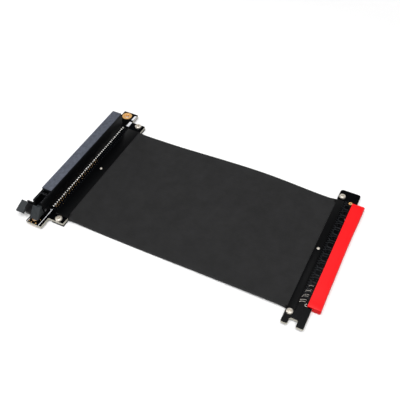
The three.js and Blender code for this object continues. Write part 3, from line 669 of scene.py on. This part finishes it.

# %% [markdown]
# Plated mounting holes
#
# A plated hole is one skin of metal: a ring on each face and a barrel between them. Its section
# is drawn once and spun all the way round. Under the latch its top ring is drawn smaller, so that
# more black mask shows there as painted shade.

# %% Spinning a section
def spun_section(bm, section, x, y, steps=48):
    chain = [bm.verts.new((radius * MM, 0.0, z * MM)) for radius, z in section]
    ring = [bm.edges.new((chain[index - 1], vert)) for index, vert in enumerate(chain) if index]
    if section[0][0] > 0 and section[-1][0] > 0:
        ring.append(bm.edges.new((chain[-1], chain[0])))
    bmesh.ops.spin(bm, geom=chain + ring, cent=(0.0, 0.0, 0.0), axis=(0.0, 0.0, 1.0),
                   angle=2 * math.pi, steps=steps, use_merge=True, use_duplicate=False)
    bmesh.ops.remove_doubles(bm, verts=bm.verts, dist=0.002 * MM)
    bmesh.ops.translate(bm, verts=bm.verts, vec=(x * MM, y * MM, 0.0))


for end, y in (("near", -eyelet_y), ("far", eyelet_y)):
    bm = bmesh.new()
    skin_height = 0.08
    top, bottom = board_high + skin_height, board_low - skin_height
    # The near ring is smaller so that black mask stands for the latch's shade: painted shade
    rim = 2.2 if end == "near" else 3.75
    spun_section(bm, [(1.9, bottom), (3.7, bottom), (3.75, board_low), (2.05, board_low),
                      (2.05, board_high), (rim, board_high), (rim - 0.05, top), (1.98, top),
                      (1.87, top - 0.1), (1.85, board_low + 0.1)], slot_x, y)
    finish_piece(bm, f"plated_hole_{end}", [gold_plating],
                 replaces=[f"mounting_eyelet_{end}"])

# %% [markdown]
# Screws and rivets
#
# Pan-head screws clamp the cable between the board and the bar below it. The head is a spun
# section, and its cross recess is carved by a blade that tapers to the bottom, as a real driver's
# tip does. The blade carves twice, a quarter turn apart, because two blades that cross in one
# mesh would confuse the Boolean modifier. The modifier's result becomes the mesh.

# %% Carving with a Boolean
def carve(piece, shape):
    cutter_mesh = bpy.data.meshes.new("cutter")
    shape.to_mesh(cutter_mesh)
    shape.free()
    cutter = bpy.data.objects.new("cutter", cutter_mesh)
    bpy.context.scene.collection.objects.link(cutter)
    modifier = piece.modifiers.new("carve", "BOOLEAN")
    modifier.operation = "DIFFERENCE"
    modifier.solver = "EXACT"
    modifier.object = cutter
    evaluated = piece.evaluated_get(bpy.context.evaluated_depsgraph_get())
    carved = bpy.data.meshes.new_from_object(evaluated)
    piece.modifiers.remove(modifier)
    old, name = piece.data, piece.data.name
    piece.data = carved
    bpy.data.objects.remove(cutter)
    bpy.data.meshes.remove(cutter_mesh)
    bpy.data.meshes.remove(old)
    carved.name = name
    carved.set_sharp_from_angle(angle=math.radians(35))


# %% Screws
head_height, head_gap, shank_end, recess_depth, recess_turn = 1.4, 0.01, 0.2, 0.9, 20
crown = [(1.0, 0.0), (1.0, 0.35), (0.97, 0.55), (0.88, 0.76), (0.72, 0.9), (0.5, 0.97), (0.25, 1.0)]
head_seat = board_high + head_gap
for name, x, y, radius in [("slot_screw_near", screw_x, screw_near, 2.4),
                           ("slot_screw_far", screw_x, screw_far, 2.4),
                           ("plug_screw_near", plug_screw_x, plug_screw_near, 2.1),
                           ("plug_screw_far", plug_screw_x, plug_screw_far, 2.1)]:
    bm = bmesh.new()
    spun_section(bm, [(0.0, shank_end), (0.95, shank_end), (1.1, shank_end + 0.15), (1.1, head_seat)]
                 + [(out * radius, head_seat + up * head_height) for out, up in crown]
                 + [(0.0, head_seat + head_height)], x, y)
    screw = finish_piece(bm, name + "_panhead", [nickel_steel], replaces=[name])
    for turn in (0.0, 90.0):
        recess = bmesh.new()
        blade = add_block(recess, -1.35, 1.35, -0.34, 0.34, 0.0, 1.4)
        low = [vert for vert in blade if vert.co.z < 0.5 * MM]
        bmesh.ops.scale(recess, verts=low, vec=(0.35, 0.8, 1.0))
        spin = Matrix.Rotation(math.radians(turn + recess_turn), 4, "Z")
        spot = Matrix.Translation((x * MM, y * MM, (board_high + head_height - recess_depth) * MM))
        bmesh.ops.transform(recess, verts=blade, matrix=spot @ spin)
        bmesh.ops.recalc_face_normals(recess, faces=recess.faces)
        carve(screw, recess)

# %% Rivets
seat = edges_of("slot_wire_cover")[5] + head_gap
for name, x in (("slot_clamp_rivet", screw_x), ("plug_clamp_rivet", plug_screw_x)):
    bm = bmesh.new()
    spun_section(bm, [(0.0, shank_end), (0.65, shank_end), (0.65, seat), (1.0, seat),
                      (0.96, seat + 0.15), (0.75, seat + 0.32), (0.4, seat + 0.42),
                      (0.0, seat + 0.45)], x, rivet_y, 32)
    finish_piece(bm, name + "_head", [nickel_steel], replaces=[name])

# %% [markdown]
# The ribbon
#
# The jacket is one closed skin. A flat grid is laid along the cable, three short extrusions give
# it three bands of thickness, and the outer bands of its ends are pulled out over and under the
# two boards. Then every point moves to its place: the sheet is thick at its ends, where it wraps
# a board, and thinner between, its far edge lifts and its near edge dips. The long edges are
# rounded last.

# %% Laying the ribbon
flat_left, flat_right = cable_right + 0.3, plug_left - 0.3
ribbon_width, ribbon_thickness = 95.0, 1.8
ribbon_middle = (board_low + board_high) / 2
end_half, wire_layer, ease_length = 1.6, 0.8, 6.0
far_lift, near_dip = 2.7, 1.3


def bump_along(share, skew):
    return math.sin(math.pi * share ** skew) ** 2


def settle(vert, layer):
    x = vert.co.x / MM
    share = min(max((x - flat_left) / (flat_right - flat_left), 0.0), 1.0)
    across = vert.co.y / (ribbon_width * MM) + 0.5
    ends = min(share, 1 - share) * (flat_right - flat_left) / ease_length
    ease = min(ends, 1.0) ** 2 * (3 - 2 * min(ends, 1.0))
    half = end_half + (ribbon_thickness / 2 - end_half) * ease
    middle = ribbon_middle + far_lift * across ** 2 * bump_along(share, 1.43)
    middle -= near_dip * (1 - across) * bump_along(share, 0.52)
    quiet = bump_along(share, 1.0)
    middle += 0.06 * quiet * math.sin(x / 9.0 + across * 3.0) * math.sin(across * 7.0 + 1.0)
    shift = -1.9 + 0.5 * share
    inner = half - wire_layer * half / end_half
    height = (-half, -inner, inner, half)[layer]
    vert.co = Vector((x, vert.co.y / MM + shift, middle + height)) * MM


bm = bmesh.new()
middle_x = (flat_left + flat_right) / 2
stretch = Matrix.Diagonal(((flat_right - flat_left) / 2, ribbon_width / 2, 1.0, 1000.0)) * MM
bmesh.ops.create_grid(bm, x_segments=110, y_segments=44, size=1.0,
                      matrix=Matrix.Translation((middle_x * MM, 0.0, 0.0)) @ stretch)
layer_of = {vert: 0 for vert in bm.verts}
top = bm.faces[:]
for layer in (1, 2, 3):
    made = bmesh.ops.extrude_face_region(bm, geom=top)
    raised = verts_of(made)
    bmesh.ops.translate(bm, verts=raised, vec=(0.0, 0.0, 0.5 * MM))
    layer_of.update({vert: layer for vert in raised})
    top = [item for item in made["geom"] if isinstance(item, bmesh.types.BMFace)]
cable_ends = edges_of("ribbon_cable")
for side, reach in ((flat_left, cable_ends[0] + 0.1), (flat_right, cable_ends[3] - 0.1)):
    for low, high in ((0, 1), (2, 3)):
        band = [face for face in bm.faces
                if all(abs(v.co.x - side * MM) < 0.01 * MM and layer_of[v] in (low, high)
                       for v in face.verts)]
        made = bmesh.ops.extrude_face_region(bm, geom=band)
        for vert in verts_of(made):
            near = min(layer_of, key=lambda known: (known.co - vert.co).length_squared)
            layer_of[vert] = layer_of[near]
        bmesh.ops.translate(bm, verts=verts_of(made), vec=((reach - side) * MM, 0.0, 0.0))
for vert in bm.verts:
    settle(vert, layer_of[vert])
bmesh.ops.recalc_face_normals(bm, faces=bm.faces)
bm.normal_update()
long_edges = [edge for edge in bm.edges
              if edge.calc_face_angle(0.0) > 1.0
              and abs((edge.verts[0].co - edge.verts[1].co).x) > 0.9 * edge.calc_length()
              and {layer_of[v] for v in edge.verts} in ({0}, {3})]
bmesh.ops.bevel(bm, geom=long_edges, offset=0.36 * MM, offset_type="OFFSET", segments=3,
                profile=0.5, affect="EDGES", material=-1)
finish_piece(bm, "ribbon_jacket", [ribbon_jacket], replaces=["ribbon_cable"],
             sharp=50)

# %% [markdown]
# Wire covers
#
# A thin strip of film covers the soldered wires on each board. It is a flat block with softened
# edges, and it is slightly narrower than the ribbon.

# %% Film strips
for name in ("slot_wire_cover", "plug_wire_cover"):
    x0, y0, z0, x1, y1, z1 = edges_of(name)
    bm = bmesh.new()
    add_block(bm, x0, x1, y0, y1, z0, z1)
    bmesh.ops.bevel(bm, geom=bm.edges[:], offset=0.12 * MM, offset_type="OFFSET", segments=2,
                    profile=0.5, affect="EDGES", material=-1)
    finish_piece(bm, name + "_film", [wire_film], replaces=[name])

# %% [markdown]
# Softening the moulded parts
#
# The slot housing, the dust cover and the latch have the right shape in the CAD frame, but a
# moulding has no knife edges. A copy of each is merged, its flat faces are joined again from
# their triangles, and its sharp edges get a small bevel. The housing's upward rims round the latch
# channel get a paler nylon as a painted highlight. The dust cover's sides get a darker copy of its
# plastic as painted shade.

# %% Copies with soft edges
def merged_copy(node):
    bm = bmesh.new()
    bm.from_mesh(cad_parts[node].data)
    bmesh.ops.remove_doubles(bm, verts=bm.verts, dist=0.001 * MM)
    bmesh.ops.dissolve_limit(bm, angle_limit=math.radians(1), use_dissolve_boundaries=False,
                             verts=bm.verts[:], edges=bm.edges[:])
    bm.normal_update()
    return bm


def soften(bm, radius, angle):
    sharp = [edge for edge in bm.edges
             if edge.is_manifold and edge.calc_face_angle(0.0) > math.radians(angle)]
    bmesh.ops.bevel(bm, geom=sharp, offset=radius * MM, offset_type="OFFSET", segments=2,
                    profile=0.5, affect="EDGES", clamp_overlap=True, material=-1)
    bm.normal_update()
    print("edges softened:", len(sharp))


# %% Housing
housing_top, groove_near = edges_of("slot_housing")[5], edges_of("slot_dust_cover")[1]
moulding_radius, moulding_angle = 0.12, 30
bm = merged_copy("slot_housing")
soften(bm, moulding_radius, moulding_angle)
# Upward faces of the near rims get the paler nylon as a painted highlight
for face in bm.faces:
    middle = face.calc_center_bounds() / MM
    on_rim = middle.z > housing_top - 0.3 and middle.y < groove_near
    face.material_index = int(face.normal.z > 0.5 and on_rim)
finish_piece(bm, "slot_housing_moulding", [housing_nylon, rim_painted_highlight_nylon],
             replaces=["slot_housing"])

# %% Dust cover
bm = merged_copy("slot_dust_cover")
soften(bm, moulding_radius, moulding_angle)
# Faces that don't look up get the darker copy as painted shade
for face in bm.faces:
    face.material_index = int(face.normal.z < 0.3)
finish_piece(bm, "dust_cover_moulding", [dust_cover_plastic, cover_painted_shade],
             replaces=["slot_dust_cover"])

# %% [markdown]
# The latch is pressed by a thumb, so its sloping face is dished: the largest face is inset and
# sunk before the edges are softened. The arm beside the thumb and the stem in the channel get
# the black nylon as painted shade; the other faces keep the grey plastic.

# %% Latch
wing_width, thumb_width, dish_inset, dish_depth = 5.7, 6.1, 1.1, 0.35
bm = merged_copy("latch_lever")
slope = max((face for face in bm.faces if face.normal.y < -0.3 and face.normal.z > 0.3),
            key=lambda face: face.calc_area())
bmesh.ops.inset_individual(bm, faces=[slope], thickness=dish_inset * MM, depth=-dish_depth * MM,
                           use_even_offset=True)
bm.normal_update()
soften(bm, 0.16, 25)
wing_inner = edges_of("latch_lever")[0] + wing_width
thumb_left = edges_of("latch_lever")[3] - thumb_width
stem_y = edges_of("latch_pin")[1] - 0.1
# The arm between wing and thumb and the stem get the black nylon as painted shade
for face in bm.faces:
    middle = face.calc_center_bounds() / MM
    inner = wing_inner + 0.05 < middle.x < thumb_left - 0.05 or middle.y > stem_y
    face.material_index = int(inner)
finish_piece(bm, "latch_moulding", [latch_plastic, housing_nylon], body="latch",
             replaces=["latch_lever"])

# %% [markdown]
# The red push-on cover
#
# The cover is a soft channel that is pushed over the edge contacts. It starts as a block whose
# outer edges are well rounded, and it is cut into short lengths. Then its outer side is drawn in
# along the middle, its near end flares and its far end is pinched, where fingers pull it off. The
# slot for the board is carved last. Faces that don't look up get the duller, deeper red as painted
# shade.

# %% Red cover
cover_left, cover_near, cover_low, cover_right, cover_far, cover_high = edges_of("plug_edge_cover")
bm = bmesh.new()
add_block(bm, cover_left, cover_right, cover_near, cover_far, cover_low, cover_high)
nose = [edge for edge in bm.edges
        if all(v.co.x > (cover_right - 0.1) * MM for v in edge.verts) and edge.calc_length() > 50 * MM]
bmesh.ops.bevel(bm, geom=nose, offset=1.1 * MM, offset_type="OFFSET", segments=5, profile=0.5,
                affect="EDGES", material=-1)
rims = [edge for edge in bm.edges if edge.calc_length() < 50 * MM and edge.calc_face_angle(0.0) > 1.0]
bmesh.ops.bevel(bm, geom=rims, offset=0.3 * MM, offset_type="OFFSET", segments=3, profile=0.5,
                affect="EDGES", clamp_overlap=True, material=-1)
lengths = [edge for edge in bm.edges if edge.calc_length() > 50 * MM]
bmesh.ops.subdivide_edges(bm, edges=lengths, cuts=72, use_grid_fill=True)
middle_z = (cover_low + cover_high) / 2
for vert in bm.verts:
    x, y, z = vert.co / MM
    from_near, from_far = max(y - cover_near, 0.0), max(cover_far - y, 0.0)
    pinch = math.exp(-from_far / 1.5) * 0.08 - math.exp(-((from_near - 2.2) / 0.9) ** 2) * 0.1
    out = (x - cover_left) / (cover_right - cover_left)
    wave = 0.07 * out * math.sin(y / 5.3) + 0.05 * math.sin(y / 2.1 + x) * math.exp(-from_near / 9.0)
    z = middle_z + (z - middle_z) * (1 - pinch) + wave * (1 if z > middle_z else 0.5)
    waist = math.sin(math.pi * min(max((y - cover_near) / (cover_far - cover_near), 0.0), 1.0))
    x -= out * (0.05 + 0.05 * math.sin(y / 7.7) + 0.5 * waist)
    vert.co = Vector((x, y, z)) * MM
bm.normal_update()
# Faces that don't look up get the deeper red as painted shade
for face in bm.faces:
    face.material_index = int(face.normal.z < 0.5)
edge_cover = finish_piece(bm, "red_edge_cover", [red_vinyl, red_painted_shade],
                          replaces=["plug_edge_cover"])
for x0, x1, y0, y1, play in (
        (cover_left - 2, plug_right + 0.3, cover_near - 2, cover_far + 2, 0.25),
        (cover_left - 1, tongue_edge + 0.25, tongue_near - 0.3, tongue_far + 0.3, 0.24)):
    groove = bmesh.new()
    add_block(groove, x0, x1, y0, y1, board_low - play, board_high + play)
    carve(edge_cover, groove)
print("red cover after carving:", len(edge_cover.data.polygons), "faces")

# %% [markdown]
# Pieces that stay as the frame has them
#
# The contact blades, the gold fingers, the pin, the ground pad and the clamp bars already have
# their real shape. They only need a finish.

# %% Finishes for the CAD nodes
for node, material in {
    "slot_contacts_left_long": gold_plating, "slot_contacts_left_short": gold_plating,
    "slot_contacts_right_long": gold_plating, "slot_contacts_right_short": gold_plating,
    "edge_contacts_top_long": gold_plating, "edge_contacts_top_short": gold_plating,
    "edge_contacts_bottom_long": gold_plating, "edge_contacts_bottom_short": gold_plating,
    "plug_ground_pad": gold_plating, "latch_pin": turned_steel,
    "slot_clamp_bar": clamp_nylon, "plug_clamp_bar": clamp_nylon,
}.items():
    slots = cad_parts[node].material_slots
    for slot in slots:
        slot.material = material
    print(node, "has", len(slots), "material slot")

# %% [markdown]
# The last cell sets the view transform to Standard.

# %% View transform
bpy.context.scene.view_settings.view_transform = "Standard"
